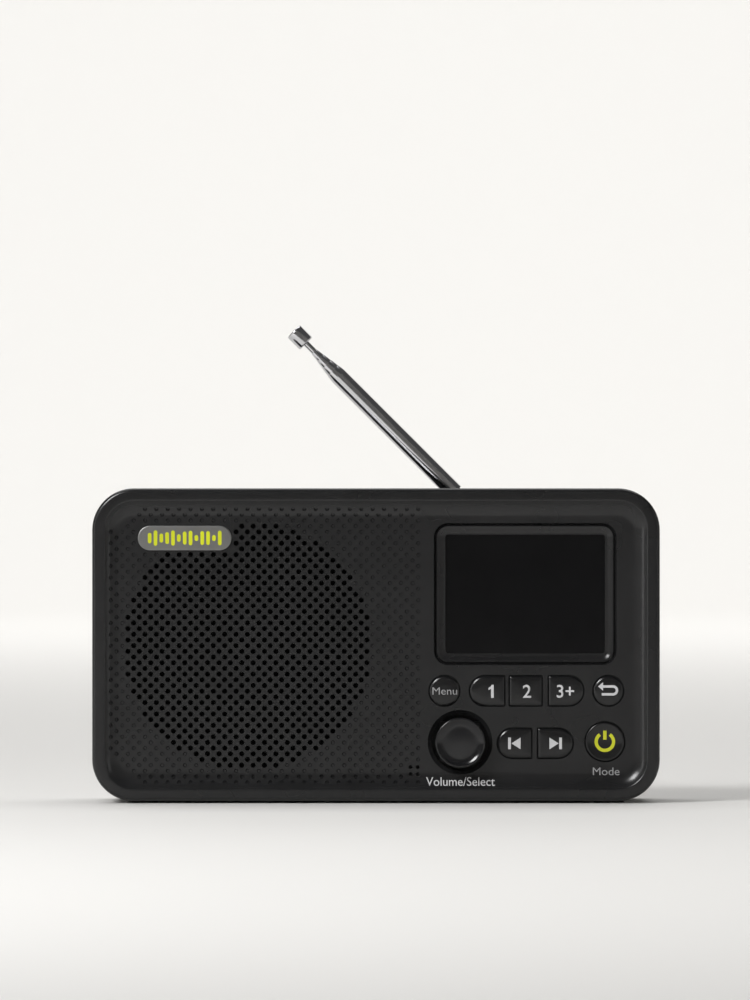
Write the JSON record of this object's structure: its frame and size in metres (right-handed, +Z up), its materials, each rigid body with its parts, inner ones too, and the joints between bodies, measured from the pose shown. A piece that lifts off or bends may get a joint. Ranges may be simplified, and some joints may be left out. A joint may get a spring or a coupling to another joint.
{
  "type": "tabletop radio",
  "caption": "Portable tabletop radio: dished dark case, perforated speaker grille, colour display, keys, push-and-turn knob and folding telescopic antenna.",
  "frame": {"origin": "centre of the overall footprint, on the table plane at the underside of the feet", "axes": "+X to the right seen from the front, the front faces -Y, +Z up"},
  "size_m": [0.17, 0.045, 0.1437],
  "materials": {
    "housing": "fine satin moulded grain",
    "key_plastic": "semi-gloss moulded",
    "knob_gloss": "polished",
    "lens": "clear gloss over black",
    "badge_plate": "satin silver-grey",
    "scrim": "fine black mesh",
    "chrome": "polished plate",
    "steel": "zinc plated",
    "tin": "satin",
    "inner_plastic": "plain moulded",
    "polyimide": "smooth film",
    "circuit_board": "black solder mask",
    "foam": "closed-cell foam",
    "rubber_soft": "matt",
    "paper_cone": "pressed fibre",
    "ferrite": "sintered",
    "wire_jacket": "smooth",
    "cell_wrap": "shrink wrap"
  },
  "bodies": {
    "root": {"front_cover": "housing", "speaker_grille": "housing", "grille_cloth": "scrim", "badge": "badge_plate", "display_lens": "lens", "lcd_module": "tin", "lcd_bracket": "inner_plastic", "lcd_flex": "polyimide", "encoder_body": "inner_plastic", "encoder_nut": "steel", "key_board": "circuit_board", "tact_switches": "inner_plastic", "key_board_screws": "steel", "microphone": "tin", "main_board": "circuit_board", "tuner_shield": "tin", "main_chips": "inner_plastic", "capacitors": "tin", "board_header": "inner_plastic", "board_screws": "steel", "port_board": "circuit_board", "usb_port": "steel", "headphone_jack": "inner_plastic", "speaker_gasket": "foam", "speaker_basket": "steel", "speaker_surround": "rubber_soft", "speaker_cone": "paper_cone", "speaker_dust_cap": "paper_cone", "speaker_magnet": "ferrite", "speaker_screws": "steel", "speaker_wires": "wire_jacket", "battery_cell": "cell_wrap", "battery_contacts": "steel", "rear_cover": "housing", "case_screws": "steel", "rubber_feet": "rubber_soft", "antenna_washer": "steel", "antenna_lead": "wire_jacket"},
    "menu_key": {"menu_key": "key_plastic"},
    "preset_key_1": {"preset_key_1": "key_plastic"},
    "preset_key_2": {"preset_key_2": "key_plastic"},
    "preset_key_3": {"preset_key_3": "key_plastic"},
    "back_key": {"back_key": "key_plastic"},
    "previous_key": {"previous_key": "key_plastic"},
    "next_key": {"next_key": "key_plastic"},
    "power_key": {"power_key": "key_plastic"},
    "knob_push": {"encoder_plunger": "inner_plastic"},
    "knob": {"volume_knob": "knob_gloss", "encoder_shaft": "steel"},
    "battery_door": {"battery_door": "housing"},
    "antenna_swivel": {"antenna_base": "chrome", "antenna_pin": "steel", "antenna_screw": "steel"},
    "antenna_arm": {"antenna_knuckle": "chrome", "antenna_section_1": "chrome"},
    "antenna_stage_2": {"antenna_section_2": "chrome"},
    "antenna_stage_3": {"antenna_section_3": "chrome"},
    "antenna_stage_4": {"antenna_section_4": "chrome"},
    "antenna_stage_5": {"antenna_section_5": "chrome", "antenna_tip": "chrome"}
  },
  "joints": [
    {"name": "menu_press", "type": "slide", "parent": "root", "child": "menu_key", "axis": [0, 1, 0], "range_m": [0, 0.0006], "stiffness_N_per_m": 500, "springref_m": -0.001},
    {"name": "preset_1_press", "type": "slide", "parent": "root", "child": "preset_key_1", "axis": [0, 1, 0], "range_m": [0, 0.0006], "stiffness_N_per_m": 500, "springref_m": -0.001},
    {"name": "preset_2_press", "type": "slide", "parent": "root", "child": "preset_key_2", "axis": [0, 1, 0], "range_m": [0, 0.0006], "stiffness_N_per_m": 500, "springref_m": -0.001},
    {"name": "preset_3_press", "type": "slide", "parent": "root", "child": "preset_key_3", "axis": [0, 1, 0], "range_m": [0, 0.0006], "stiffness_N_per_m": 500, "springref_m": -0.001},
    {"name": "back_press", "type": "slide", "parent": "root", "child": "back_key", "axis": [0, 1, 0], "range_m": [0, 0.0006], "stiffness_N_per_m": 500, "springref_m": -0.001},
    {"name": "previous_press", "type": "slide", "parent": "root", "child": "previous_key", "axis": [0, 1, 0], "range_m": [0, 0.0006], "stiffness_N_per_m": 500, "springref_m": -0.001},
    {"name": "next_press", "type": "slide", "parent": "root", "child": "next_key", "axis": [0, 1, 0], "range_m": [0, 0.0006], "stiffness_N_per_m": 500, "springref_m": -0.001},
    {"name": "power_press", "type": "slide", "parent": "root", "child": "power_key", "axis": [0, 1, 0], "range_m": [0, 0.0006], "stiffness_N_per_m": 500, "springref_m": -0.001},
    {"name": "knob_press", "type": "slide", "parent": "root", "child": "knob_push", "axis": [0, 1, 0], "range_m": [0, 0.0005], "stiffness_N_per_m": 800, "springref_m": -0.001},
    {"name": "knob_turn", "type": "hinge", "parent": "knob_push", "child": "knob", "pos_m": [0.0252, -0.0175, 0.0182], "axis": [0, 1, 0], "continuous": true},
    {"name": "battery_door_off", "type": "slide", "parent": "root", "child": "battery_door", "axis": [0, 1, 0], "range_m": [0, 0.03]},
    {"name": "antenna_turn", "type": "hinge", "parent": "root", "child": "antenna_swivel", "pos_m": [0.0259, 0.0162, 0.0912], "axis": [0, 0, 1], "range_deg": [0, 350]},
    {"name": "antenna_tilt", "type": "hinge", "parent": "antenna_swivel", "child": "antenna_arm", "pos_m": [0.0259, 0.0162, 0.0912], "axis": [0, 1, 0], "range_deg": [-45, 45]},
    {"name": "antenna_extend_2", "type": "slide", "parent": "antenna_arm", "child": "antenna_stage_2", "axis": [-0.7071, 0, 0.7071], "range_m": [0, 0.044]},
    {"name": "antenna_extend_3", "type": "slide", "parent": "antenna_stage_2", "child": "antenna_stage_3", "axis": [-0.7071, 0, 0.7071], "range_m": [0, 0.044]},
    {"name": "antenna_extend_4", "type": "slide", "parent": "antenna_stage_3", "child": "antenna_stage_4", "axis": [-0.7071, 0, 0.7071], "range_m": [0, 0.044]},
    {"name": "antenna_extend_5", "type": "slide", "parent": "antenna_stage_4", "child": "antenna_stage_5", "axis": [-0.7071, 0, 0.7071], "range_m": [0, 0.044]}
  ]
}
